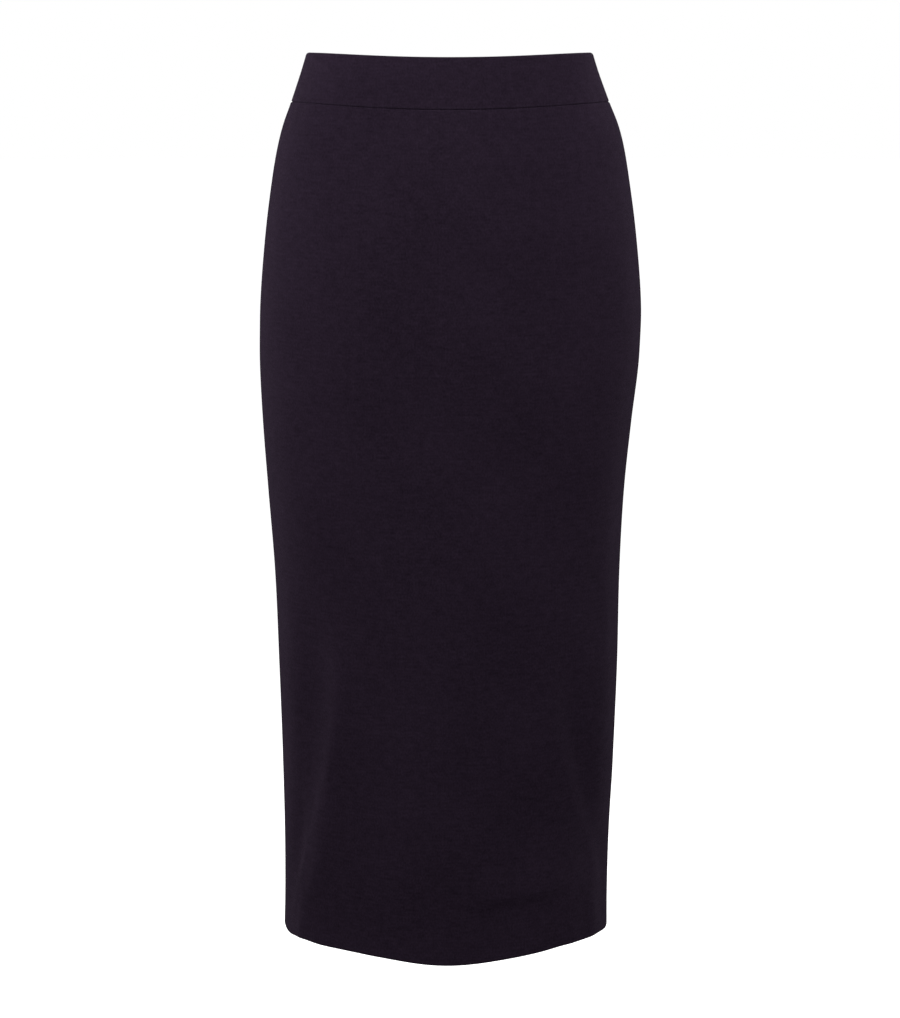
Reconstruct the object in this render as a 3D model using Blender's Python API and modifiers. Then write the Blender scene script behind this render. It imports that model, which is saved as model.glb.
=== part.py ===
"""A midi pencil skirt in plain double knit, hollow and filled out as when it is worn.

Five cloth pieces, as they are cut and sewn: a front and a back waistband, one plain front panel, and two back
panels whose centre seam ends in a walking slit. The hem and the edges of the slit are turned in, so the cloth is
double there, and the waistband is double all over.

Metres, +Z up. The front faces -Y and the origin is at the middle of the waistband. A direction around the skirt is
in degrees from the centre front, positive towards +X: the side seams are at 90 and -90, the centre back at 180.
"""

import math
from collections import namedtuple

import bmesh
import bpy

COLLECTION = "pencil_skirt"

CLOTH = 0.0015
DOUBLE_CLOTH = 2 * CLOTH
SEAM_GAP = 0.0004
EDGE_BEVEL = 0.0004

HEM_TURN_UP = 0.052
HEM_STEP = 0.003
SLIT_TOP = -0.548
SLIT_OPENING_AT_HEM = 0.014
SLIT_FACING = 0.030
SLIT_FACING_STEP = 0.010

SIDE_SEAM = 90.0
CENTRE_BACK = 180.0

CLOTH_COLOUR = (0.0152, 0.0103, 0.0178, 1.0)
CLOTH_ROUGHNESS = 0.85

# Horizontal sections. Depths run from the line between the side seams to the centre front and the centre back.
# lean is the middle of the width, and square flattens the front, back and sides of the ellipse.
Section = namedtuple("Section", "height half_width lean front back square")
SECTIONS = (
    Section(0.0220, 0.1190, 0.0004, 0.0878, 0.0897, 0.012),
    Section(0.0000, 0.1269, 0.0006, 0.0905, 0.0945, 0.013),
    Section(-0.0205, 0.1343, 0.0010, 0.0935, 0.1000, 0.015),
    Section(-0.0380, 0.1410, 0.0013, 0.0960, 0.1045, 0.016),
    Section(-0.0550, 0.1456, 0.0014, 0.0985, 0.1085, 0.018),
    Section(-0.0800, 0.1502, 0.0013, 0.1020, 0.1135, 0.020),
    Section(-0.1300, 0.1569, 0.0014, 0.1075, 0.1215, 0.022),
    Section(-0.1900, 0.1618, 0.0013, 0.1105, 0.1275, 0.022),
    Section(-0.2350, 0.1616, 0.0003, 0.1110, 0.1280, 0.022),
    Section(-0.2900, 0.1573, -0.0017, 0.1100, 0.1240, 0.022),
    Section(-0.3500, 0.1523, -0.0025, 0.1090, 0.1175, 0.022),
    Section(-0.4200, 0.1481, -0.0016, 0.1085, 0.1120, 0.022),
    Section(-0.5000, 0.1460, -0.0008, 0.1085, 0.1090, 0.020),
    Section(-0.5800, 0.1433, -0.0011, 0.1085, 0.1075, 0.018),
    Section(-0.6600, 0.1409, -0.0022, 0.1080, 0.1070, 0.015),
    Section(-0.7450, 0.1407, -0.0031, 0.1080, 0.1070, 0.012),
)

# Lines round the skirt: the height at the side seams, how much lower the line runs at the centre front and the
# centre back, and how narrow the front dip is.
Line = namedtuple("Line", "height front_dip back_dip focus")
TOP_EDGE = Line(0.0213, 0.0037, 0.0085, 3.0)
WAIST_SEAM = Line(-0.0194, 0.0054, 0.0090, 3.0)
HEM = Line(-0.7319, 0.0075, 0.0020, 14.0)

# Soft ridges (rise above 0) and troughs (below 0) that run down the cloth. start and end are directions at the
# fold's top and bottom, spread is its half width in degrees. A bottom below the hem lets the fold run out there.
Fold = namedtuple("Fold", "top bottom start end spread rise")
FOLDS = (
    Fold(-0.440, -0.815, -35.3, -68.4, 3.8, 0.0024),
    Fold(-0.400, -0.720, -46.0, -67.0, 6.0, -0.0042),
    Fold(-0.455, -0.800, -19.5, -46.7, 7.5, -0.0017),
    Fold(-0.425, -0.730, 30.6, 74.0, 4.5, 0.0018),
    Fold(-0.440, -0.737, 41.8, 72.0, 6.8, -0.0048),
    Fold(-0.370, -0.720, -10.5, -11.5, 6.0, 0.0008),
    Fold(-0.660, -0.800, 46.5, 49.0, 3.6, 0.0015),
    Fold(-0.280, -0.800, -149.0, -158.0, 8.0, 0.0030),
    Fold(-0.300, -0.800, 146.0, 155.0, 8.0, 0.0026),
    Fold(-0.350, -0.800, -126.0, -131.0, 9.0, -0.0030),
    Fold(-0.390, -0.800, 124.0, 130.0, 9.0, -0.0034),
    Fold(-0.320, -0.620, 180.0, 180.0, 9.0, -0.0026),
)
FOLD_FADE = 0.090
FOLD_SWEEP = 1.5

# left and right are the directions of a piece's side edges, top and bottom the lines that it runs between.
Piece = namedtuple("Piece", "name left right top bottom")
WAISTBANDS = (
    Piece("waistband_front", -SIDE_SEAM, SIDE_SEAM, TOP_EDGE, WAIST_SEAM),
    Piece("waistband_back", SIDE_SEAM, 2 * CENTRE_BACK - SIDE_SEAM, TOP_EDGE, WAIST_SEAM),
)
PANELS = (
    Piece("front_panel", -SIDE_SEAM, SIDE_SEAM, WAIST_SEAM, HEM),
    Piece("back_panel_right", SIDE_SEAM, CENTRE_BACK, WAIST_SEAM, HEM),
    Piece("back_panel_left", -CENTRE_BACK, -SIDE_SEAM, WAIST_SEAM, HEM),
)

BAND_ROWS = 4
BODY_ROWS = 26
HEM_ROWS = 3
DEGREES_PER_COLUMN = 4.0
SIDE_CROWDING = 0.5


def smooth(share):
    """0 to 1 with no slope at either end."""
    share = min(max(share, 0.0), 1.0)
    return share * share * (3 - 2 * share)


def section_at(height):
    """The section at any height, on smooth curves through the table."""
    rows = SECTIONS
    upper = 0
    while upper < len(rows) - 2 and rows[upper + 1].height > height:
        upper += 1
    first = max(upper - 1, 0)
    last = min(upper + 2, len(rows) - 1)
    a, b, c, d = rows[first], rows[upper], rows[upper + 1], rows[last]
    step = c.height - b.height
    t = (height - b.height) / step
    values = []
    for before, here, after, beyond in zip(a, b, c, d):
        slope_here = (after - before) / (c.height - a.height) * step
        slope_after = (beyond - here) / (d.height - b.height) * step
        cubic = 2 * here - 2 * after + slope_here + slope_after
        square = 3 * after - 3 * here - 2 * slope_here - slope_after
        values.append(((cubic * t + square) * t + slope_here) * t + here)
    return Section(*values)


def line_height(line, around):
    """The height of an edge or seam in this direction."""
    facing = math.cos(math.radians(around))
    if facing > 0:
        return line.height - line.front_dip * facing**line.focus
    return line.height - line.back_dip * facing * facing


def fold_rise(around, height):
    """How far the folds lift the cloth off its section, outwards."""
    total = 0.0
    for fold in FOLDS:
        along = (fold.top - height) / (fold.top - fold.bottom)
        if not 0 < along < 1:
            continue
        centre = fold.start + (fold.end - fold.start) * smooth(along**FOLD_SWEEP)
        off = (around - centre + CENTRE_BACK) % (2 * CENTRE_BACK) - CENTRE_BACK
        fade = smooth((fold.top - height) / FOLD_FADE) * smooth((height - fold.bottom) / FOLD_FADE)
        total += fold.rise * fade * math.exp(-0.5 * (off / fold.spread) ** 2)
    return total


def skin(around, height):
    """The point on the skirt's outer surface in this direction and at this height."""
    section = section_at(height)
    angle = math.radians(around)
    depth = section.front if math.cos(angle) > 0 else section.back
    k = section.square
    across = section.half_width / (1 - k)
    deep = depth / (1 - k)
    x = across * (math.sin(angle) + k * math.sin(3 * angle))
    y = -deep * (math.cos(angle) - k * math.cos(3 * angle))
    along_x = across * (math.cos(angle) + 3 * k * math.cos(3 * angle))
    along_y = deep * (math.sin(angle) - 3 * k * math.sin(3 * angle))
    lift = fold_rise(around, height) / math.hypot(along_x, along_y)
    return (section.lean + x + along_y * lift, y - along_x * lift, height)


def slit_half_opening(height):
    """Half the gap between the two edges of the walking slit."""
    below = max(SLIT_TOP - height, 0.0)
    return 0.5 * SLIT_OPENING_AT_HEM * below / (SLIT_TOP - HEM.height)


def edge_inset(seam, height):
    """How many degrees a piece's side edge stands back from its seam line."""
    nearby = seam - 1 if seam > 0 else seam + 1
    x0, y0, _ = skin(seam, height)
    x1, y1, _ = skin(nearby, height)
    inset = SEAM_GAP / 2
    if abs(seam) == CENTRE_BACK:
        inset += slit_half_opening(height)
    return inset / math.hypot(x1 - x0, y1 - y0)


def row_shares(piece):
    """The rows of a piece, as shares of the way down, with a step where the hem is turned up."""
    if piece.bottom is not HEM:
        return [row / BAND_ROWS for row in range(BAND_ROWS + 1)]
    length = piece.top.height - piece.bottom.height
    step_top = 1 - (HEM_TURN_UP + HEM_STEP) / length
    step_foot = 1 - HEM_TURN_UP / length
    body = [step_top * row / BODY_ROWS for row in range(BODY_ROWS + 1)]
    hem = [step_foot + (1 - step_foot) * row / HEM_ROWS for row in range(HEM_ROWS + 1)]
    return body + hem


def column_shares(piece):
    """The columns of a piece, as shares of the way round, closer together at its side edges."""
    count = round((piece.right - piece.left) / DEGREES_PER_COLUMN)
    shares = (column / count for column in range(count + 1))
    return [s - SIDE_CROWDING * math.sin(2 * math.pi * s) / (2 * math.pi) for s in shares]


def doubling(piece, share_down, point, slit_edge):
    """1 where the cloth lies double, 0 where it is single."""
    if piece.bottom is not HEM:
        return 1.0
    length = piece.top.height - piece.bottom.height
    if (1 - share_down) * length < HEM_TURN_UP + HEM_STEP / 2:
        return 1.0
    if slit_edge is None or point[2] > SLIT_TOP:
        return 0.0
    from_edge = math.dist(point, slit_edge)
    return smooth((SLIT_FACING + SLIT_FACING_STEP - from_edge) / SLIT_FACING_STEP)


def cloth_rows(piece):
    """The rows of points of a piece's outer surface, and how double the cloth is at each."""
    shares = column_shares(piece)
    trim_top = SEAM_GAP / 2 if piece.top is WAIST_SEAM else 0.0
    trim_bottom = SEAM_GAP / 2 if piece.bottom is WAIST_SEAM else 0.0
    for down in row_shares(piece):
        middle = piece.top.height + (piece.bottom.height - piece.top.height) * down
        left = piece.left + edge_inset(piece.left, middle)
        right = piece.right - edge_inset(piece.right, middle)
        points = []
        for share in shares:
            around = left + (right - left) * share
            top = line_height(piece.top, around) - trim_top
            bottom = line_height(piece.bottom, around) + trim_bottom
            points.append(skin(around, top + (bottom - top) * down))
        slit_edge = None
        if piece.right == CENTRE_BACK:
            slit_edge = points[-1]
        if piece.left == -CENTRE_BACK:
            slit_edge = points[0]
        yield points, [doubling(piece, down, point, slit_edge) for point in points]


def cloth_material(name):
    material = bpy.data.materials.new(name)
    material.use_nodes = True
    shader = material.node_tree.nodes["Principled BSDF"]
    shader.inputs["Base Color"].default_value = CLOTH_COLOUR
    shader.inputs["Roughness"].default_value = CLOTH_ROUGHNESS
    shader.inputs["Metallic"].default_value = 0.0
    material.diffuse_color = CLOTH_COLOUR
    return material


def make_piece(piece, collection):
    """One cloth piece: its outer surface as a grid, given its thickness inwards."""
    mesh = bpy.data.meshes.new(piece.name)
    obj = bpy.data.objects.new(piece.name, mesh)
    collection.objects.link(obj)
    double = obj.vertex_groups.new(name="double_cloth")

    grid = bmesh.new()
    layer = grid.verts.layers.deform.verify()
    rows = []
    for points, doubles in cloth_rows(piece):
        row = [grid.verts.new(point) for point in points]
        for vertex, share in zip(row, doubles):
            vertex[layer][double.index] = (1 + share) * CLOTH / DOUBLE_CLOTH
        rows.append(row)
    for upper, lower in zip(rows, rows[1:]):
        for left in range(len(upper) - 1):
            grid.faces.new((upper[left], lower[left], lower[left + 1], upper[left + 1]))
    grid.to_mesh(mesh)
    grid.free()
    mesh.shade_smooth()

    thickness = obj.modifiers.new("thickness", "SOLIDIFY")
    thickness.thickness = DOUBLE_CLOTH
    thickness.vertex_group = double.name
    thickness.offset = -1
    thickness.use_even_offset = True

    edges = obj.modifiers.new("rounded edges", "BEVEL")
    edges.width = EDGE_BEVEL
    edges.segments = 1
    edges.limit_method = "ANGLE"
    edges.angle_limit = math.radians(50)

    mesh.materials.append(cloth_material(piece.name))
    return obj


def clear_scene():
    for obj in list(bpy.data.objects):
        bpy.data.objects.remove(obj, do_unlink=True)


def main():
    clear_scene()
    collection = bpy.data.collections.new(COLLECTION)
    bpy.context.scene.collection.children.link(collection)
    for piece in WAISTBANDS + PANELS:
        make_piece(piece, collection)


main()
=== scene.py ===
"""The looks of a plain midi pencil skirt in dark aubergine double knit, hollow and filled out as when worn.

Each cloth piece is one continuous sheet, cut with its allowances: the outer face, its edges rolled into the
seams, the allowances pressed flat inside, and the hem turned up. The sheets lie on the form of the CAD part,
which is repeated here from the same named sizes, with finer creases laid on it.

Metres, +Z up. The front faces -Y and the origin is at the middle of the waistband. A direction around the
skirt is in degrees from the centre front, positive towards +X: the side seams are at 90 and -90, the centre
back at 180.
"""

import math
from collections import namedtuple

import bpy
import numpy as np
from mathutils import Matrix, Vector


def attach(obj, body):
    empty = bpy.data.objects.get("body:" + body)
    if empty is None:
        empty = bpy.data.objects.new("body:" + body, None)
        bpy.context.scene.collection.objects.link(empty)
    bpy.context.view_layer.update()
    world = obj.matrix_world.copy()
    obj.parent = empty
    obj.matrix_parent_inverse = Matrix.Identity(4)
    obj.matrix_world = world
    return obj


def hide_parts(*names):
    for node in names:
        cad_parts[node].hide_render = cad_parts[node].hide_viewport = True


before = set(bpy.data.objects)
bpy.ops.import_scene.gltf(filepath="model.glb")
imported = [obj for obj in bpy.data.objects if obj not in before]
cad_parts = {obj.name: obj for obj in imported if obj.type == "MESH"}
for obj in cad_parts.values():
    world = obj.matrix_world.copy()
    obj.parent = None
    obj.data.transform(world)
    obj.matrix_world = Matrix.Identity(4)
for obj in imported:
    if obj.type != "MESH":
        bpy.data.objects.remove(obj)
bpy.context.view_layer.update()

# ----------------------------------------------------------------------------------------------------
# The form, as in the CAD part
# ----------------------------------------------------------------------------------------------------

SLIT_TOP = -0.548
SLIT_OPENING_AT_HEM = 0.014
SIDE_SEAM = 90.0
CENTRE_BACK = 180.0
FULL_TURN = 360.0

# Horizontal sections. Depths run from the line between the side seams to the centre front and the centre
# back. lean is the middle of the width, and square flattens the front, back and sides of the ellipse.
Section = namedtuple("Section", "height half_width lean front back square")
SECTIONS = np.array((
    Section(0.0220, 0.1190, 0.0004, 0.0878, 0.0897, 0.012),
    Section(0.0000, 0.1269, 0.0006, 0.0905, 0.0945, 0.013),
    Section(-0.0205, 0.1343, 0.0010, 0.0935, 0.1000, 0.015),
    Section(-0.0380, 0.1410, 0.0013, 0.0960, 0.1045, 0.016),
    Section(-0.0550, 0.1456, 0.0014, 0.0985, 0.1085, 0.018),
    Section(-0.0800, 0.1502, 0.0013, 0.1020, 0.1135, 0.020),
    Section(-0.1300, 0.1569, 0.0014, 0.1075, 0.1215, 0.022),
    Section(-0.1900, 0.1618, 0.0013, 0.1105, 0.1275, 0.022),
    Section(-0.2350, 0.1616, 0.0003, 0.1110, 0.1280, 0.022),
    Section(-0.2900, 0.1573, -0.0017, 0.1100, 0.1240, 0.022),
    Section(-0.3500, 0.1523, -0.0025, 0.1090, 0.1175, 0.022),
    Section(-0.4200, 0.1481, -0.0016, 0.1085, 0.1120, 0.022),
    Section(-0.5000, 0.1460, -0.0008, 0.1085, 0.1090, 0.020),
    Section(-0.5800, 0.1433, -0.0011, 0.1085, 0.1075, 0.018),
    Section(-0.6600, 0.1409, -0.0022, 0.1080, 0.1070, 0.015),
    Section(-0.7450, 0.1407, -0.0031, 0.1080, 0.1070, 0.012),
))

# Lines round the skirt: the height at the side seams, how much lower the line runs at the centre front and
# the centre back, and how narrow the front dip is.
Line = namedtuple("Line", "height front_dip back_dip focus")
TOP_EDGE = Line(0.0213, 0.0037, 0.0085, 3.0)
WAIST_SEAM = Line(-0.0194, 0.0054, 0.0090, 3.0)
HEM = Line(-0.7319, 0.0075, 0.0020, 14.0)

# Soft ridges (rise above 0) and troughs (below 0) that run down the cloth. start and end are directions at
# the fold's top and bottom, spread is its half width in degrees. A bottom below the hem lets the fold run
# out there. The folds fade in and out within FOLD_FADE, and swing from start to end late for a sweep over 1.
Fold = namedtuple("Fold", "top bottom start end spread rise")
FOLDS = (
    Fold(-0.440, -0.815, -35.3, -68.4, 3.8, 0.0024),
    Fold(-0.400, -0.720, -46.0, -67.0, 6.0, -0.0042),
    Fold(-0.455, -0.800, -19.5, -46.7, 7.5, -0.0017),
    Fold(-0.425, -0.730, 30.6, 74.0, 4.5, 0.0018),
    Fold(-0.440, -0.737, 41.8, 72.0, 6.8, -0.0048),
    Fold(-0.370, -0.720, -10.5, -11.5, 6.0, 0.0008),
    Fold(-0.660, -0.800, 46.5, 49.0, 3.6, 0.0015),
    Fold(-0.280, -0.800, -149.0, -158.0, 8.0, 0.0030),
    Fold(-0.300, -0.800, 146.0, 155.0, 8.0, 0.0026),
    Fold(-0.350, -0.800, -126.0, -131.0, 9.0, -0.0030),
    Fold(-0.390, -0.800, 124.0, 130.0, 9.0, -0.0034),
    Fold(-0.320, -0.620, 180.0, 180.0, 9.0, -0.0026),
)
FOLD_FADE = 0.090
FOLD_SWEEP = 1.5

# ----------------------------------------------------------------------------------------------------
# Finer relief, only here
# ----------------------------------------------------------------------------------------------------

# More folds like the ones above, most of them shallower and less even, which fade within CREASE_FADE. The
# second and third lay the ridge at the left of the front down towards the hem.
CREASES = (
    Fold(-0.450, -0.740, -35.6, -68.6, 2.4, 0.0009),
    Fold(-0.660, -0.830, -54.0, -91.0, 4.4, -0.0022),
    Fold(-0.670, -0.830, -68.0, -69.0, 4.6, -0.0008),
    Fold(-0.640, -0.830, -60.0, -62.0, 9.0, 0.0010),
    Fold(-0.390, -0.700, -62.4, -73.0, 4.9, 0.0007),
    Fold(-0.450, -0.730, 31.0, 74.0, 2.6, 0.0004),
    Fold(-0.360, -0.627, 62.4, 71.4, 4.8, 0.0012),
    Fold(-0.400, -0.640, 76.0, 80.0, 4.0, 0.0007),
    Fold(-0.640, -0.800, 62.0, 58.5, 3.2, 0.0009),
    Fold(-0.520, -0.760, 60.0, 66.0, 4.5, 0.0010),
    Fold(-0.400, -0.720, -13.0, -13.5, 4.5, 0.0006),
    Fold(-0.600, -0.800, 19.8, 26.0, 8.0, -0.0007),
    Fold(-0.560, -0.800, -57.0, -63.0, 2.2, 0.0007),
    Fold(-0.600, -0.790, -22.0, -27.0, 3.0, 0.0005),
    Fold(-0.520, -0.700, 8.0, 12.0, 4.0, 0.0004),
    Fold(-0.610, -0.800, 27.0, 31.0, 4.0, -0.0005),
    Fold(-0.060, -0.190, -58.0, -52.0, 5.0, -0.0004),
    Fold(-0.050, -0.170, 61.0, 54.0, 4.5, -0.0003),
    Fold(-0.300, -0.520, 171.0, 166.0, 3.5, 0.0009),
    Fold(-0.330, -0.540, -172.0, -165.0, 4.0, 0.0007),
    Fold(-0.560, -0.800, 168.0, 171.0, 3.5, 0.0008),
    Fold(-0.580, -0.800, -170.0, -168.0, 3.0, 0.0006),
    Fold(-0.450, -0.780, 104.0, 108.0, 4.0, 0.0010),
    Fold(-0.480, -0.760, -103.0, -110.0, 4.5, 0.0012),
    Fold(-0.045, -0.150, 160.0, 150.0, 5.0, -0.0005),
    Fold(-0.045, -0.160, -161.0, -149.0, 5.5, -0.0005),
)
CREASE_FADE = 0.050

# Creases that run across the cloth: where the middle is, the half length in degrees, the half height, how
# much higher the line runs where the direction grows (slant) and at both ends (bow), and the rise. The last
# one flares the front of the hem. DRAG_FADE is how early they fade towards their ends.
Drag = namedtuple("Drag", "height around half_length half_height slant bow rise")
DRAGS = (
    Drag(-0.292, 158.0, 26.0, 0.0080, 0.010, 0.016, -0.0010),
    Drag(-0.318, -160.0, 24.0, 0.0075, -0.012, 0.014, -0.0009),
    Drag(-0.352, 176.0, 30.0, 0.0090, 0.004, 0.018, 0.0007),
    Drag(-0.212, 96.0, 16.0, 0.0110, 0.010, 0.000, -0.0004),
    Drag(-0.205, -97.0, 17.0, 0.0120, -0.010, 0.000, -0.0004),
    Drag(-0.352, 0.0, 70.0, 0.0050, 0.002, 0.001, 0.00012),
    Drag(-0.746, -8.0, 85.0, 0.0130, 0.000, 0.008, 0.0016),
)
DRAG_FADE = 1.6

# The raw edge of the turned-up hem, pressed through to the outside in some places: a ridge a little above
# the edge, whose lower side is the steeper one. Directions and half lengths in degrees.
HemMark = namedtuple("HemMark", "around half_length rise")
HEM_MARKS = (
    HemMark(18.0, 10.0, 0.0036),
    HemMark(33.0, 10.0, 0.0046),
    HemMark(-31.0, 9.0, 0.0006),
    HemMark(104.0, 10.0, 0.0004),
    HemMark(146.0, 12.0, 0.0005),
    HemMark(-128.0, 16.0, 0.0005),
)
HEM_MARK_FADE = 1.5
HEM_MARK_LIFT = 0.002
HEM_MARK_ABOVE = 0.0240
HEM_MARK_BELOW = 0.0061

# How the hem hangs a little lower (drop above 0) or higher in places, with the half width in degrees.
HemWave = namedtuple("HemWave", "around spread drop")
HEM_WAVES = (
    HemWave(28.0, 12.0, 0.0012),
    HemWave(65.0, 9.0, -0.0025),
    HemWave(45.0, 8.0, -0.0024),
    HemWave(88.0, 10.0, 0.0012),
    HemWave(-30.0, 20.0, -0.0003),
    HemWave(-59.0, 6.0, -0.0014),
    HemWave(-72.0, 4.5, 0.0009),
    HemWave(-85.0, 7.0, -0.0010),
    HemWave(128.0, 14.0, 0.0010),
    HemWave(-140.0, 18.0, 0.0012),
)

# The top of the waistband leans in at the front and back, and stands out a little at the sides.
TOP_LEAN_HEIGHT = 0.024
TOP_LEAN_IN = 0.0060
TOP_SIDE_OUT = 0.0009

# Small uneven puckers where the waist seam eases the cloth in: waves round the skirt, by their number,
# phase and share, fading away from the seam.
Pucker = namedtuple("Pucker", "number phase share")
PUCKERS = (
    Pucker(31, 1.3, 1.0),
    Pucker(47, 0.4, 0.8),
    Pucker(19, 2.1, 0.6),
)
PUCKER_RISE = 0.00014
PUCKER_REACH = 0.014

# ----------------------------------------------------------------------------------------------------
# How the cloth is cut and folded
# ----------------------------------------------------------------------------------------------------

# The cloth's thickness, and the radius that it is rolled to at seams, along the waistband's top and at the
# hem.
CLOTH = 0.00115
SEAM_ROLL = 0.00125
TOP_ROLL = 0.00220
HEM_ROLL = 0.00135

# Where a fold crosses a seam it is deeper by SEAM_BULK, for the allowances that lie inside, and higher by a
# share of that. This reaches a little past the allowances and then fades.
SEAM_BULK = 0.00125
BULK_HEIGHT = 0.3
BULK_REACH = 0.002
BULK_FADE = 0.010

# The sheets overlap a hair at each seam, so that no light shows between them.
SEAM_OVERLAP = 0.0001

# What is folded inside: the allowances, the hem, and the facings of the slit, which grow out of the seam
# allowances just above its top.
ALLOWANCE = 0.010
WAIST_ALLOWANCE = 0.009
HEM_TURN_UP = 0.054
SLIT_FACING = 0.030
SLIT_FACING_ABOVE = 0.016
SLIT_FACING_EASE = 0.012

# The inner layer of a waistband steps in over the allowances of the waist seam.
FACING_STEP_IN = 0.0012
FACING_STEP_SHARPNESS = 8.0

# The mesh: rows or columns round each roll, steps across each folded part, and how much closer the columns
# lie at the side edges.
ROLL_ROWS = 7
SIDE_ALLOWANCE_STEPS = 4
WAIST_ALLOWANCE_STEPS = 3
HEM_STEPS = 11
BAND_ALLOWANCE_STEPS = 5
BAND_FACING_STEPS = 11
SIDE_CROWDING = 0.55

# How the cloth lies on its way round a roll, in degrees: on the outer face, on the very edge, and folded
# back inside. The lower edge of a waistband's outer layer ends a little past its edge.
OUTSIDE = 90.0
ON_EDGE = 0.0
INSIDE = -90.0
TURNED_UNDER = -20.0

BODY = "root"


def smooth(share):
    """0 to 1 with no slope at either end."""
    share = np.clip(share, 0.0, 1.0)
    return share * share * (3 - 2 * share)


def bell(share):
    """1 in the middle, fading to nothing by about 2.5 either way."""
    return np.exp(-0.5 * share * share)


def steps(start, end, count):
    """Evenly spaced values from start to end, both included."""
    return np.linspace(start, end, count + 1)


def apart(around, centre):
    """How many degrees from centre to around, the short way."""
    half_turn = FULL_TURN / 2
    return (around - centre + half_turn) % FULL_TURN - half_turn


def section_at(height):
    """The sections at these heights, on smooth curves through the table."""
    last_row = len(SECTIONS) - 1
    upper = np.clip(np.searchsorted(-SECTIONS[1:, 0], -height), 0, last_row - 1)
    before = SECTIONS[np.maximum(upper - 1, 0)]
    here = SECTIONS[upper]
    after = SECTIONS[upper + 1]
    beyond = SECTIONS[np.minimum(upper + 2, last_row)]
    step = (after - here)[..., :1]
    t = (height[..., None] - here[..., :1]) / step
    slope_here = (after - before) / (after - before)[..., :1] * step
    slope_after = (beyond - here) / (beyond - here)[..., :1] * step
    cubic = 2 * here - 2 * after + slope_here + slope_after
    square = 3 * after - 3 * here - 2 * slope_here - slope_after
    values = ((cubic * t + square) * t + slope_here) * t + here
    return Section(*np.moveaxis(values, -1, 0))


def line_height(line, around):
    """The heights of an edge or seam in these directions."""
    facing = np.cos(np.radians(around))
    front = line.front_dip * np.maximum(facing, 0.0) ** line.focus
    back = line.back_dip * np.minimum(facing, 0.0) ** 2
    waves = HEM_WAVES if line is HEM else ()
    drop = sum(wave.drop * bell(apart(around, wave.around) / wave.spread) for wave in waves)
    return line.height - front - back - drop


def fold_rise(folds, fade_length, around, height):
    """How far these folds lift the cloth off its section, outwards."""
    total = np.zeros(np.broadcast(around, height).shape)
    for fold in folds:
        along = np.clip((fold.top - height) / (fold.top - fold.bottom), 0.0, 1.0)
        centre = fold.start + (fold.end - fold.start) * smooth(along**FOLD_SWEEP)
        fade = smooth((fold.top - height) / fade_length) * smooth((height - fold.bottom) / fade_length)
        total += fold.rise * fade * bell(apart(around, centre) / fold.spread)
    return total


def drag_rise(around, height):
    """How far the creases that run across lift the cloth."""
    total = np.zeros(np.broadcast(around, height).shape)
    for drag in DRAGS:
        share = apart(around, drag.around) / drag.half_length
        line = drag.height + drag.slant * share + drag.bow * share**2
        total += drag.rise * bell(DRAG_FADE * share) * bell((height - line) / drag.half_height)
    return total


def hem_mark_rise(around, height):
    """How far the raw edge of the hem lifts the cloth from inside."""
    strength = 0.0
    for mark in HEM_MARKS:
        share = apart(around, mark.around) / mark.half_length
        strength = strength + mark.rise * bell(HEM_MARK_FADE * share)
    above = height - line_height(HEM, around) - HEM_TURN_UP - HEM_MARK_LIFT
    return strength * np.where(above > 0, bell(above / HEM_MARK_ABOVE), bell(above / HEM_MARK_BELOW))


def top_rise(around, height):
    """How far the top of the waistband stands out from its section."""
    share = np.clip(1 - (line_height(TOP_EDGE, around) - height) / TOP_LEAN_HEIGHT, 0.0, 1.0)
    facing = np.cos(np.radians(around)) ** 2
    return share**2 * (TOP_SIDE_OUT * (1 - facing) - TOP_LEAN_IN * facing)


def pucker_rise(around, height):
    """How far the puckers lift the cloth."""
    from_seam_line = np.abs(line_height(WAIST_SEAM, around) - height)
    angle = np.radians(around)
    waves = sum(pucker.share * np.sin(pucker.number * angle + pucker.phase) for pucker in PUCKERS)
    return PUCKER_RISE * waves * np.exp(-from_seam_line / PUCKER_REACH)


def relief(around, height):
    """How far all of this lifts the cloth off its section."""
    return (
        fold_rise(FOLDS, FOLD_FADE, around, height)
        + fold_rise(CREASES, CREASE_FADE, around, height)
        + drag_rise(around, height)
        + hem_mark_rise(around, height)
        + top_rise(around, height)
        + pucker_rise(around, height)
    )


def plan(around, height):
    """Where the plain section runs in plan, without relief, and which way it runs for each radian."""
    section = section_at(height)
    angle = np.radians(around)
    side_depth = np.where(np.cos(angle) > 0, section.front, section.back)
    k = section.square
    across = section.half_width / (1 - k)
    deep = side_depth / (1 - k)
    x = section.lean + across * (np.sin(angle) + k * np.sin(3 * angle))
    y = -deep * (np.cos(angle) - k * np.cos(3 * angle))
    along_x = across * (np.cos(angle) + 3 * k * np.cos(3 * angle))
    along_y = deep * (np.sin(angle) - 3 * k * np.sin(3 * angle))
    return x, y, along_x, along_y


def skin(around, height, depth):
    """Points on the outer surface in these directions and at these heights, moved inwards by depth."""
    around, height, depth = np.broadcast_arrays(around, height, depth)
    x, y, along_x, along_y = plan(around, height)
    lift = (relief(around, height) - depth) / np.hypot(along_x, along_y)
    return np.stack((x + along_y * lift, y - along_x * lift, height), axis=-1)


def metres_per_degree(around, height):
    """How far it is along the plain section for each degree."""
    _, _, along_x, along_y = plan(*np.broadcast_arrays(around, height))
    return np.hypot(along_x, along_y) * math.pi / 180


def seam_inset(seam, height):
    """How far a side edge stands back from its seam: half the opening of the slit, less half the overlap."""
    if abs(seam) != CENTRE_BACK:
        return -SEAM_OVERLAP / 2
    below = np.maximum(SLIT_TOP - height, 0.0)
    return 0.5 * SLIT_OPENING_AT_HEM * below / (SLIT_TOP - HEM.height) - SEAM_OVERLAP / 2


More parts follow.
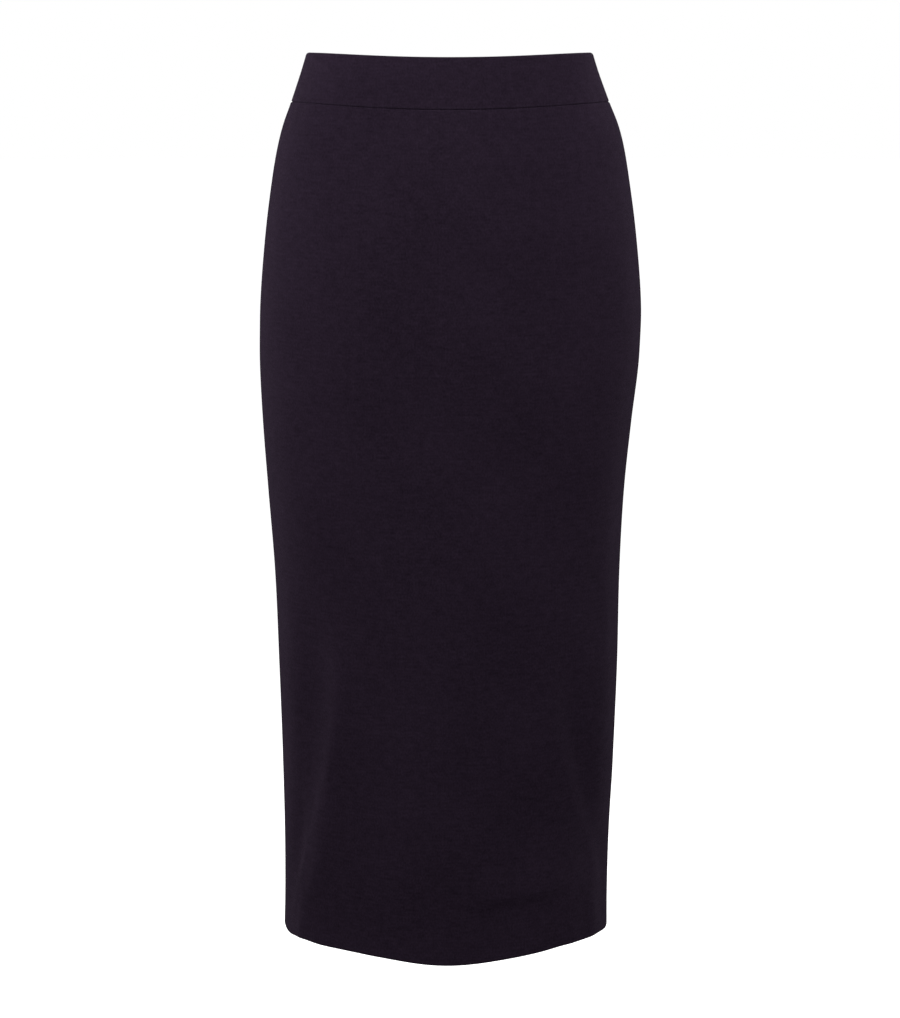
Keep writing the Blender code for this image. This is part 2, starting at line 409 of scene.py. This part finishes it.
def allowance_width(seam, height):
    """How wide the cloth is folded back behind a side edge: a seam allowance, or the facing of the slit."""
    if abs(seam) != CENTRE_BACK:
        return ALLOWANCE
    into_slit = (SLIT_TOP + SLIT_FACING_ABOVE - height) / SLIT_FACING_EASE
    return ALLOWANCE + (SLIT_FACING - ALLOWANCE) * smooth(into_slit)


def from_seam(seam, inwards, height, distance):
    """The direction of points at this distance from a side edge, along the surface. inwards is 1 or -1."""
    return seam + inwards * (distance + seam_inset(seam, height)) / metres_per_degree(seam, height)


def seam_bulk(around, height):
    """How much deeper the folds across the seams are."""
    total = 0.0
    for seam in (SIDE_SEAM, -SIDE_SEAM, CENTRE_BACK):
        from_line = np.abs(apart(around, seam)) * metres_per_degree(seam, height)
        past_edge = from_line - seam_inset(seam, height) - allowance_width(seam, height)
        total = total + 1 - smooth((past_edge - BULK_REACH) / BULK_FADE)
    return SEAM_BULK * total


# ----------------------------------------------------------------------------------------------------
# Sheets of cloth
# ----------------------------------------------------------------------------------------------------

# The cut of a piece before it is sewn, with what is folded inside: width and length in metres, area in
# square metres.
Cut = namedtuple("Cut", "width length area")

# left and right are the directions of a piece's side edges, top and bottom the lines that it runs between.
# grain is where its knit runs straight down, as a share of the way across, and columns is how many steps its
# mesh takes across.
Piece = namedtuple("Piece", "name node left right top bottom top_roll bottom_roll grain columns cut")


def panel(name, node_name, left, right, grain, columns, cut):
    """A panel of the skirt, its side edges folded back inside."""
    return Piece(
        name, node_name, left, right, WAIST_SEAM, HEM, SEAM_ROLL, HEM_ROLL, grain, columns, cut
    )


def band(name, node_name, left, right, columns, cut):
    """Half of the waistband. Its side edges end inside the double cloth, so they have no allowances."""
    return Piece(
        name, node_name, left, right, TOP_EDGE, WAIST_SEAM, TOP_ROLL, SEAM_ROLL, 0.5, columns, cut
    )


FRONT = panel("front_cloth", "front_panel", -SIDE_SEAM, SIDE_SEAM, 0.5, 132, Cut(0.467, 0.792, 0.343))
BACK_RIGHT = panel(
    "back_cloth_right", "back_panel_right", SIDE_SEAM, CENTRE_BACK, 1.0, 72, Cut(0.261, 0.791, 0.189)
)
BACK_LEFT = panel(
    "back_cloth_left", "back_panel_left", -CENTRE_BACK, -SIDE_SEAM, 0.0, 72, Cut(0.261, 0.791, 0.189)
)
BAND_FRONT = band(
    "band_front_cloth", "waistband_front", -SIDE_SEAM, SIDE_SEAM, 132, Cut(0.367, 0.104, 0.0351)
)
BAND_BACK = band(
    "band_back_cloth", "waistband_back", SIDE_SEAM, FULL_TURN - SIDE_SEAM, 140, Cut(0.380, 0.104, 0.0363)
)

# Rows of a sheet, from its inner top edge up, over the top and down the outside. share is 0 along the top
# and 1 along the bottom, and turn is how the row lies on its way round a roll. extra is how far it lies from
# the roll inside, in metres, and across the same in shares of the piece.
Row = namedtuple("Row", "share turn extra across")

# Stretches of a piece's outer face, by the distance below its top line, and the spacing of the rows in each.
Stretch = namedtuple("Stretch", "top bottom spacing")
PANEL_STRETCHES = (
    Stretch(0.000, 0.016, 0.0018),
    Stretch(0.016, 0.640, 0.0038),
    Stretch(0.640, 0.674, 0.0014),
    Stretch(0.674, 0.7116, 0.0030),
)
BAND_STRETCHES = (
    Stretch(0.000, 0.006, 0.0016),
    Stretch(0.006, 0.0347, 0.0028),
    Stretch(0.0347, 0.0407, 0.0016),
)


def roll(share, first, last):
    """Rows round the roll along the top or the bottom."""
    return [Row(share, turn, 0.0, 0.0) for turn in np.linspace(first, last, ROLL_ROWS)]


def face(stretches):
    """Rows of the outer face, without its first and last, which belong to the rolls."""
    length = stretches[-1].bottom
    rows = []
    for part in stretches:
        count = round((part.bottom - part.top) / part.spacing)
        for below in steps(part.top, part.bottom, count)[1:]:
            rows.append(Row(below / length, OUTSIDE, 0.0, 0.0))
    return rows[:-1]


def panel_rows():
    """Rows of a panel, with the allowance at the waist and the turned-up hem."""
    waist = steps(WAIST_ALLOWANCE, 0.0, WAIST_ALLOWANCE_STEPS)[:-1]
    allowance = [Row(0.0, INSIDE, extra, 0.0) for extra in waist]
    hem = steps(0.0, HEM_TURN_UP, HEM_STEPS)[1:]
    turn_up = [Row(1.0, INSIDE, extra, 0.0) for extra in hem]
    outer = roll(0.0, INSIDE, OUTSIDE) + face(PANEL_STRETCHES) + roll(1.0, OUTSIDE, INSIDE)
    return allowance + outer + turn_up


def band_rows():
    """Rows of a waistband, whose inner layer runs down past the waist seam."""
    past_seam = steps(WAIST_ALLOWANCE, 0.0, BAND_ALLOWANCE_STEPS)
    allowance = [Row(0.0, INSIDE, extra, 1.0) for extra in past_seam]
    inner = steps(1.0, 0.0, BAND_FACING_STEPS)[1:-1]
    facing = [Row(0.0, INSIDE, 0.0, across) for across in inner]
    outer = roll(0.0, INSIDE, OUTSIDE) + face(BAND_STRETCHES) + roll(1.0, OUTSIDE, TURNED_UNDER)
    return allowance + facing + outer


def columns_of(piece):
    """Columns of a sheet: share across it, distance from the side edge, depth, share of the allowance."""
    if piece.bottom is HEM:
        turns = np.radians(np.linspace(INSIDE, OUTSIDE, ROLL_ROWS))
        folded = steps(1.0, 0.0, SIDE_ALLOWANCE_STEPS)[:-1]
    else:
        turns = np.radians(np.linspace(ON_EDGE, OUTSIDE, ROLL_ROWS))
        folded = np.zeros(0)
    edge_distance = SEAM_ROLL - SEAM_ROLL * np.concatenate((np.zeros(len(folded)), np.cos(turns)))
    edge_depth = SEAM_ROLL - SEAM_ROLL * np.concatenate((-np.ones(len(folded)), np.sin(turns)))
    edge_allowance = np.concatenate((folded, np.zeros(len(turns))))

    even = np.arange(1, piece.columns) / piece.columns
    middle = even - SIDE_CROWDING * np.sin(2 * math.pi * even) / (2 * math.pi)
    nothing = np.zeros(len(middle))
    share = np.concatenate((np.zeros(len(edge_depth)), middle, np.ones(len(edge_depth))))
    distance = np.concatenate((edge_distance, nothing + SEAM_ROLL, edge_distance[::-1]))
    depth = np.concatenate((edge_depth, nothing, edge_depth[::-1]))
    allowance = np.concatenate((edge_allowance, nothing, edge_allowance[::-1]))
    return share, distance, depth, allowance


def rolled(half_height, half_depth, depth, turn):
    """How far from its line, and how far inwards, a row on the roll along the top or bottom lies."""
    away = half_height - (half_height - depth) * np.cos(turn)
    inwards = half_depth - (half_depth - depth) * np.sin(turn)
    return away, inwards


def cloth_points(piece, rows):
    """The points of a piece's right side as rows by columns, and the height of its top line at each."""
    share, distance, depth, allowance = columns_of(piece)
    down, turn, extra, across = (np.array(values)[:, None] for values in zip(*rows))
    turn = np.radians(turn)
    folded = extra + across * (piece.top.height - piece.bottom.height)
    nominal = piece.top.height + (piece.bottom.height - piece.top.height) * down
    nominal = nominal + np.where(down < 0.5, -folded, folded)

    left_distance = distance + allowance * allowance_width(piece.left, nominal)
    right_distance = distance + allowance * allowance_width(piece.right, nominal)
    left = from_seam(piece.left, 1, nominal, left_distance)
    right = from_seam(piece.right, -1, nominal, right_distance)
    around = left + (right - left) * share
    top = line_height(piece.top, around) + SEAM_OVERLAP / 2
    bottom = line_height(piece.bottom, around) - SEAM_OVERLAP / 2

    bulk = seam_bulk(around, nominal)
    top_bulk = bulk * (piece.top is WAIST_SEAM)
    bottom_bulk = bulk * (piece.bottom is HEM)
    below_top, at_top = rolled(
        piece.top_roll + BULK_HEIGHT * top_bulk, piece.top_roll + top_bulk, depth, turn
    )
    above_bottom, at_bottom = rolled(
        piece.bottom_roll + BULK_HEIGHT * bottom_bulk, piece.bottom_roll + bottom_bulk, depth, turn
    )
    below_top = below_top + extra + across * (top - bottom)
    above_bottom = above_bottom + extra
    height = (top - below_top) * (1 - down) + (bottom + above_bottom) * down
    inwards = at_top * (1 - down) + at_bottom * down
    stepped_in = smooth(FACING_STEP_SHARPNESS * (across - 1) + 1)
    inwards = inwards + (FACING_STEP_IN + 2 * bulk) * stepped_in
    return skin(around, height, inwards), top


def steps_along(points, axis):
    """Running length along the rows or the columns of a grid of points."""
    lengths = np.linalg.norm(np.diff(points, axis=axis), axis=-1).cumsum(axis=axis)
    return np.insert(lengths, 0, 0.0, axis=axis)


def cloth_map(piece, rows, points, top):
    """Metres on the flat cloth at every point: across from the grain line, and up from the waist."""
    share, _, depth, _ = columns_of(piece)
    grain_column = (np.abs(share - piece.grain) + depth).argmin()
    outer_top_row = next(i for i, row in enumerate(rows) if row.turn == OUTSIDE)
    across = steps_along(points, 1)
    down = steps_along(points, 0)
    across = across - across[:, grain_column, None]
    up = top[outer_top_row] + down[outer_top_row] - down
    return np.stack((across, up), axis=-1)


def new_object(name, data):
    """A new object in the scene."""
    obj = bpy.data.objects.new(name, data)
    bpy.context.scene.collection.objects.link(obj)
    return obj


def grid_mesh(name, points, uv):
    """A mesh of quads through a grid of points, its right side outwards, with the map called cloth."""
    rows, columns = points.shape[:2]
    corner = (np.arange(rows - 1)[:, None] * columns + np.arange(columns - 1)).ravel()
    faces = np.stack((corner, corner + columns, corner + columns + 1, corner + 1), axis=1)
    mesh = bpy.data.meshes.new(name)
    mesh.from_pydata(points.reshape(-1, 3).tolist(), [], faces.tolist())
    layer = mesh.uv_layers.new(name="cloth")
    layer.data.foreach_set("uv", uv.reshape(-1, 2)[faces.ravel()].astype(np.float32).ravel())
    mesh.shade_smooth()
    return mesh


def make_sheet(piece, rows, material):
    """One sheet of cloth, with its thickness."""
    points, top = cloth_points(piece, rows)
    obj = new_object(piece.name, grid_mesh(piece.name, points, cloth_map(piece, rows, points, top)))
    obj.data.materials.append(material)
    thickness = obj.modifiers.new("cloth", "SOLIDIFY")
    thickness.thickness = CLOTH
    thickness.offset = -1
    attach(obj, BODY)
    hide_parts(piece.node)
    return obj


# ----------------------------------------------------------------------------------------------------
# Materials
# ----------------------------------------------------------------------------------------------------

# The width and height of a stitch, how far its legs slant as a share of the height, and how much its loops
# swell along a leg. The columns wander by up to half of STITCH_WANDER either way.
WALE = 0.00105
COURSE = 0.00080
STITCH_SLANT = 0.55
STITCH_SWELL = 0.26
STITCH_WANDER = 0.0010

KNIT_DARK = (0.0043, 0.0028, 0.0051, 1.0)
KNIT_LIGHT = (0.0281, 0.0185, 0.0326, 1.0)
KNIT_ROUGHNESS = 0.62
KNIT_BLOOM = 0.0364
KNIT_BLOOM_ROUGHNESS = 0.40
KNIT_BLOOM_TINT = (0.92, 0.72, 1.0, 1.0)
THREAD_DARK = (0.0075, 0.0045, 0.0090, 1.0)
THREAD_LIGHT = (0.0170, 0.0110, 0.0200, 1.0)

# Noise over the flat cloth or through space: features for each metre, finer detail, and how much denser it
# is across and down than that.
Noise = namedtuple("Noise", "scale detail across down", defaults=(1.0, 1.0))
WANDER = Noise(90.0, 1.0)
FLECK = Noise(620.0, 3.0, 1.15, 0.75)
MOTTLE = Noise(170.0, 1.0, 1.0, 0.8)
STREAK = Noise(260.0, 2.0, 0.28, 1.9)
CLOUD = Noise(11.0, 2.0)
FUZZ = Noise(2600.0, 2.0)
PLY = Noise(2200.0, 1.0)

# How much of each shows in the tone of the cloth, which runs from dark at 0 to light at 1, the tone without
# them, and how much the streaks show in the roughness and the fuzz in the fine relief.
FLECK_SHARE = 0.72
MOTTLE_SHARE = 0.25
STREAK_SHARE = 0.30
CLOUD_SHARE = 0.25
STITCH_SHARE = 0.20
BARE_TONE = -0.435
STREAK_ROUGHNESS = 0.16
FUZZ_HEIGHT = 0.45


def node(tree, kind, **settings):
    """A new node with these settings."""
    made = tree.nodes.new(kind)
    for name, value in settings.items():
        setattr(made, name, value)
    return made


def link(tree, source, target):
    """Joins an output socket to an input socket."""
    tree.links.new(source, target)


def new_material(name):
    """A new material, its node tree and its shader."""
    material = bpy.data.materials.new(name)
    material.use_nodes = True
    return material, material.node_tree, material.node_tree.nodes["Principled BSDF"]


def math_node(tree, operation, *values):
    """A Math node; each value is a number or an output socket."""
    made = node(tree, "ShaderNodeMath", operation=operation)
    for socket, value in zip(made.inputs, values):
        if isinstance(value, (int, float)):
            socket.default_value = value
        else:
            link(tree, value, socket)
    return made.outputs[0]


def noise(tree, vector, kind):
    """Noise from 0 to 1 over a vector."""
    mapping = node(tree, "ShaderNodeMapping")
    mapping.inputs["Scale"].default_value = (kind.across, kind.down, 1.0)
    link(tree, vector, mapping.inputs["Vector"])
    made = node(tree, "ShaderNodeTexNoise")
    made.inputs["Scale"].default_value = kind.scale
    made.inputs["Detail"].default_value = kind.detail
    link(tree, mapping.outputs[0], made.inputs["Vector"])
    return made.outputs["Fac"]


def two_tones(tree, share, dark, light):
    """A colour between two, from a value between 0 and 1."""
    ramp = node(tree, "ShaderNodeValToRGB")
    ramp.color_ramp.elements[0].color = dark
    ramp.color_ramp.elements[1].color = light
    link(tree, share, ramp.inputs["Fac"])
    return ramp.outputs["Color"]


def raise_surface(tree, shader, height, strength, distance):
    """Fine relief on a shader's surface, too small for the mesh."""
    bump = node(tree, "ShaderNodeBump")
    bump.inputs["Strength"].default_value = strength
    bump.inputs["Distance"].default_value = distance
    link(tree, height, bump.inputs["Height"])
    link(tree, bump.outputs["Normal"], shader.inputs["Normal"])


def knit_height(tree, across, down):
    """Columns of V-shaped stitches, as a height from 0 to 1."""
    wale = math_node(tree, "FRACT", math_node(tree, "DIVIDE", across, WALE))
    from_middle = math_node(tree, "ABSOLUTE", math_node(tree, "SUBTRACT", wale, 0.5))
    side = math_node(tree, "MULTIPLY", from_middle, 2.0)
    other_side = math_node(tree, "SUBTRACT", 1.0, side)
    leg = math_node(tree, "MULTIPLY", math_node(tree, "MULTIPLY", side, other_side), 4.0)
    slant = math_node(tree, "MULTIPLY", side, STITCH_SLANT)
    course = math_node(tree, "ADD", math_node(tree, "DIVIDE", down, COURSE), slant)
    wave = math_node(tree, "COSINE", math_node(tree, "MULTIPLY", course, 2 * math.pi))
    swell = math_node(tree, "MULTIPLY_ADD", wave, STITCH_SWELL, 1 - STITCH_SWELL)
    return math_node(tree, "MULTIPLY", leg, swell)


def knit_material():
    """Dark double knit: fine stitches, flecked yarn, faint streaks along the courses and a soft bloom."""
    material, tree, shader = new_material("aubergine_double_knit")
    flat = node(tree, "ShaderNodeUVMap", uv_map="cloth").outputs["UV"]

    moved = math_node(
        tree, "MULTIPLY_ADD", noise(tree, flat, WANDER), STITCH_WANDER, -STITCH_WANDER / 2
    )
    place = node(tree, "ShaderNodeSeparateXYZ")
    link(tree, flat, place.inputs[0])
    across = math_node(tree, "ADD", place.outputs["X"], moved)
    down = math_node(tree, "ADD", place.outputs["Y"], moved)
    stitches = knit_height(tree, across, down)

    streak = noise(tree, flat, STREAK)
    tone = math_node(tree, "MULTIPLY_ADD", noise(tree, flat, FLECK), FLECK_SHARE, BARE_TONE)
    tone = math_node(tree, "MULTIPLY_ADD", noise(tree, flat, MOTTLE), MOTTLE_SHARE, tone)
    tone = math_node(tree, "MULTIPLY_ADD", streak, STREAK_SHARE, tone)
    tone = math_node(tree, "MULTIPLY_ADD", noise(tree, flat, CLOUD), CLOUD_SHARE, tone)
    tone = math_node(tree, "MULTIPLY_ADD", stitches, STITCH_SHARE, tone)
    link(tree, two_tones(tree, tone, KNIT_DARK, KNIT_LIGHT), shader.inputs["Base Color"])

    roughness = math_node(tree, "MULTIPLY_ADD", streak, STREAK_ROUGHNESS, KNIT_ROUGHNESS)
    link(tree, roughness, shader.inputs["Roughness"])
    surface = math_node(tree, "MULTIPLY_ADD", noise(tree, flat, FUZZ), FUZZ_HEIGHT, stitches)
    raise_surface(tree, shader, surface, strength=0.55, distance=0.00018)

    shader.inputs["Specular IOR Level"].default_value = 0.0
    shader.inputs["Sheen Weight"].default_value = KNIT_BLOOM
    shader.inputs["Sheen Roughness"].default_value = KNIT_BLOOM_ROUGHNESS
    shader.inputs["Sheen Tint"].default_value = KNIT_BLOOM_TINT
    return material


def thread_material():
    """Matt polyester thread, with the turns of its ply."""
    material, tree, shader = new_material("overlock_thread")
    place = node(tree, "ShaderNodeTexCoord").outputs["Object"]
    ply = noise(tree, place, PLY)
    link(tree, two_tones(tree, ply, THREAD_DARK, THREAD_LIGHT), shader.inputs["Base Color"])
    raise_surface(tree, shader, ply, strength=0.5, distance=0.0001)
    shader.inputs["Roughness"].default_value = 0.55
    shader.inputs["Specular IOR Level"].default_value = 0.4
    return material


# ----------------------------------------------------------------------------------------------------
# Sewing
# ----------------------------------------------------------------------------------------------------

# Threads lie ON_CLOTH above the cloth's surface.
THREAD_RADIUS = 0.00016
ON_CLOTH = 0.00012

# The overlock's width and pitch. Down the seams it starts below the waist allowance, and along the hem it
# stops short of them. Along the waist and the hem its pitch holds at the mean radius of the skirt.
OVERLOCK_WIDTH = 0.0045
OVERLOCK_PITCH = 0.0024
OVERLOCK_BELOW_WAIST = 0.012
OVERLOCK_FROM_SEAM = 5.0
MEAN_RADIUS = 0.135

# The bar tack: its number of stitch ends, how far it starts above the slit, its length and half width, the
# radius of the skirt there, and how far it stands out.
TACK_ENDS = 13
TACK_START = 0.0015
TACK_LENGTH = 0.0045
TACK_HALF_WIDTH = 0.0032
TACK_RADIUS = 0.109
TACK_RISE = 0.0001


def thread_object(name, lines, material):
    """Thin square tubes along each line of points, with closed ends."""
    points = []
    faces = []
    start = 0
    for line in lines:
        count = len(line)
        along = np.gradient(line, axis=0)
        along /= np.linalg.norm(along, axis=1)[:, None]
        one = np.cross(along, line * (1.0, 1.0, 0.0))
        one /= np.linalg.norm(one, axis=1)[:, None]
        two = np.cross(along, one)
        for angle in np.radians((45, 135, 225, 315)):
            points.append(line + THREAD_RADIUS * (math.cos(angle) * one + math.sin(angle) * two))
        corners = start + count * np.arange(4)
        step = np.arange(count - 1)
        for here, beside in zip(corners, np.roll(corners, -1)):
            side = (here + step, beside + step, beside + step + 1, here + step + 1)
            faces.append(np.stack(side, axis=1))
        faces.append(np.stack((corners[::-1], corners + count - 1)))
        start += 4 * count
    mesh = bpy.data.meshes.new(name)
    mesh.from_pydata(np.concatenate(points).tolist(), [], np.concatenate(faces).tolist())
    mesh.shade_smooth()
    mesh.materials.append(material)
    obj = new_object(name, mesh)
    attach(obj, BODY)
    return obj


def zigzag(count):
    """0 and 1 in turn."""
    return np.arange(count) % 2


def side_overlock(seam, inwards, top, bottom):
    """Thread over the raw edge behind a side edge: a zigzag, and a needle line beside it."""
    heights = np.arange(top, bottom, -OVERLOCK_PITCH / 2)
    far = SEAM_ROLL + allowance_width(seam, heights)
    depth = 2 * SEAM_ROLL + ON_CLOTH
    distances = (far - OVERLOCK_WIDTH * zigzag(len(heights)), far - OVERLOCK_WIDTH)
    return [skin(from_seam(seam, inwards, heights, distance), heights, depth) for distance in distances]


def round_overlock(line, above, left, right, depth):
    """The same along a raw edge that runs round the skirt at some height above a line."""
    around = np.arange(left, right, math.degrees(OVERLOCK_PITCH / 2 / MEAN_RADIUS))
    edge = line_height(line, around) + above
    inner = edge - math.copysign(OVERLOCK_WIDTH, above)
    deep = depth + 2 * seam_bulk(around, edge)
    zig = zigzag(len(around))
    return [skin(around, height, deep) for height in (edge * zig + inner * (1 - zig), inner)]


def bar_tack():
    """A short block of close stitches across the seam, at the top of the slit."""
    heights = SLIT_TOP + TACK_START - steps(0.0, TACK_LENGTH, TACK_ENDS - 1)
    side = zigzag(TACK_ENDS) * 2.0 - 1
    around = CENTRE_BACK + math.degrees(TACK_HALF_WIDTH / TACK_RADIUS) * side
    return [skin(around, heights, -TACK_RISE)]


# ----------------------------------------------------------------------------------------------------
# Staging
# ----------------------------------------------------------------------------------------------------

# The camera stands in front, a little above the waistband, and looks down by CAMERA_DOWN degrees.
CAMERA_PLACE = (0.00076, -2.6, 0.0205)
CAMERA_DOWN = 8.466
CAMERA_LENS = 108.222

FLOOR_HEIGHT = -1.080
FLOOR_RADIUS = 30.0
FLOOR_GREY = (0.70, 0.70, 0.70, 1.0)
WHITE = (1.0, 1.0, 1.0, 1.0)

# Soft rectangular lights, and the share of full white that comes from all round.
Light = namedtuple("Light", "name place target width height watts")
LIGHTS = (
    Light("front", (0.0, -1.60, 1.10), (0.0, 0.0, -0.10), 0.8, 0.8, 8.4),
    Light("top_front", (0.0, -0.80, 1.00), (0.0, 0.0, -0.10), 0.8, 0.5, 7.9),
    Light("low_front", (0.0, -1.30, -0.35), (0.0, 0.0, -0.40), 0.5, 0.5, 1.4),
    Light("near_left", (-0.75, -0.90, 0.55), (0.0, 0.0, -0.10), 0.5, 0.5, 5.8),
    Light("left_side", (-0.95, -0.30, 0.25), (0.0, 0.0, -0.15), 0.4, 0.5, 5.7),
    Light("right_side", (0.95, -0.30, 0.25), (0.0, 0.0, -0.15), 0.4, 0.5, 6.3),
    Light("low_left_back", (-1.00, 0.50, 0.00), (0.0, 0.0, -0.30), 0.4, 0.8, 5.8),
    Light("far_right_back", (0.80, 1.00, 0.00), (0.0, 0.0, -0.30), 0.4, 0.9, 2.6),
    Light("right_back", (1.00, 0.70, 0.75), (0.0, 0.0, -0.10), 0.6, 0.6, 6.2),
    Light("back", (0.0, 2.20, 1.10), (0.0, 0.0, -0.30), 1.2, 1.2, 26.0),
)
AMBIENT = 0.10


def make_camera():
    camera = new_object("camera", bpy.data.cameras.new("camera"))
    camera.location = CAMERA_PLACE
    camera.rotation_euler = (math.radians(90 - CAMERA_DOWN), 0.0, 0.0)
    camera.data.lens = CAMERA_LENS
    bpy.context.scene.camera = camera


def make_floor():
    """A pale matt floor, which the camera sees as white as the ground behind it."""
    bpy.ops.mesh.primitive_circle_add(vertices=96, radius=FLOOR_RADIUS, fill_type="NGON")
    floor = bpy.context.object
    floor.name = "floor"
    floor.location.z = FLOOR_HEIGHT
    material, tree, shader = new_material("pale_floor")
    shader.inputs["Base Color"].default_value = FLOOR_GREY
    shader.inputs["Roughness"].default_value = 0.9
    shader.inputs["Specular IOR Level"].default_value = 0.1
    shader.inputs["Emission Color"].default_value = WHITE
    seen = node(tree, "ShaderNodeLightPath").outputs["Is Camera Ray"]
    link(tree, seen, shader.inputs["Emission Strength"])
    floor.data.materials.append(material)


def make_lights():
    for light in LIGHTS:
        data = bpy.data.lights.new(light.name, "AREA")
        data.shape = "RECTANGLE"
        data.size = light.width
        data.size_y = light.height
        data.energy = light.watts
        obj = new_object(light.name, data)
        obj.location = light.place
        aim = Vector(light.target) - Vector(light.place)
        obj.rotation_euler = aim.to_track_quat("-Z", "Y").to_euler()
        obj.visible_camera = False


def make_world():
    """Soft light from all round, in front of a white ground."""
    world = bpy.data.worlds.new("white_studio")
    world.use_nodes = True
    tree = world.node_tree
    background = tree.nodes["Background"]
    background.inputs["Color"].default_value = WHITE
    seen = node(tree, "ShaderNodeLightPath").outputs["Is Camera Ray"]
    link(tree, math_node(tree, "MAXIMUM", seen, AMBIENT), background.inputs["Strength"])
    bpy.context.scene.world = world
    bpy.context.scene.view_settings.view_transform = "Standard"


# ----------------------------------------------------------------------------------------------------
# The skirt
# ----------------------------------------------------------------------------------------------------


def sew_panel(name, piece, thread):
    """The overlock on a panel's two side edges and along its hem."""
    below_waist = WAIST_SEAM.height - WAIST_ALLOWANCE - OVERLOCK_BELOW_WAIST
    above_hem = HEM.height + HEM_TURN_UP
    lines = side_overlock(piece.left, 1, below_waist, above_hem)
    lines += side_overlock(piece.right, -1, below_waist, above_hem)
    left = piece.left + OVERLOCK_FROM_SEAM
    right = piece.right - OVERLOCK_FROM_SEAM
    lines += round_overlock(HEM, HEM_TURN_UP + HEM_ROLL, left, right, 2 * HEM_ROLL + ON_CLOTH)
    return thread_object(name, lines, thread)


def sew_band(name, piece, thread):
    """The overlock on the raw edge of a waistband's inner layer."""
    depth = 2 * TOP_ROLL + FACING_STEP_IN + ON_CLOTH
    lines = round_overlock(WAIST_SEAM, -WAIST_ALLOWANCE - TOP_ROLL, piece.left, piece.right, depth)
    return thread_object(name, lines, thread)


def main():
    knit = knit_material()
    thread = thread_material()
    cloth = {piece: make_sheet(piece, band_rows(), knit) for piece in (BAND_FRONT, BAND_BACK)}
    cloth |= {piece: make_sheet(piece, panel_rows(), knit) for piece in (FRONT, BACK_RIGHT, BACK_LEFT)}

    sewing = {
        FRONT: [sew_panel("front_overlock", FRONT, thread)],
        BACK_RIGHT: [sew_panel("right_overlock", BACK_RIGHT, thread)],
        BACK_LEFT: [sew_panel("left_overlock", BACK_LEFT, thread)],
        BAND_FRONT: [sew_band("front_waist_overlock", BAND_FRONT, thread)],
        BAND_BACK: [sew_band("back_waist_overlock", BAND_BACK, thread)],
    }
    sewing[BACK_RIGHT].append(thread_object("slit_bar_tack", bar_tack(), thread))

    make_floor()
    make_lights()
    make_world()
    make_camera()


main()
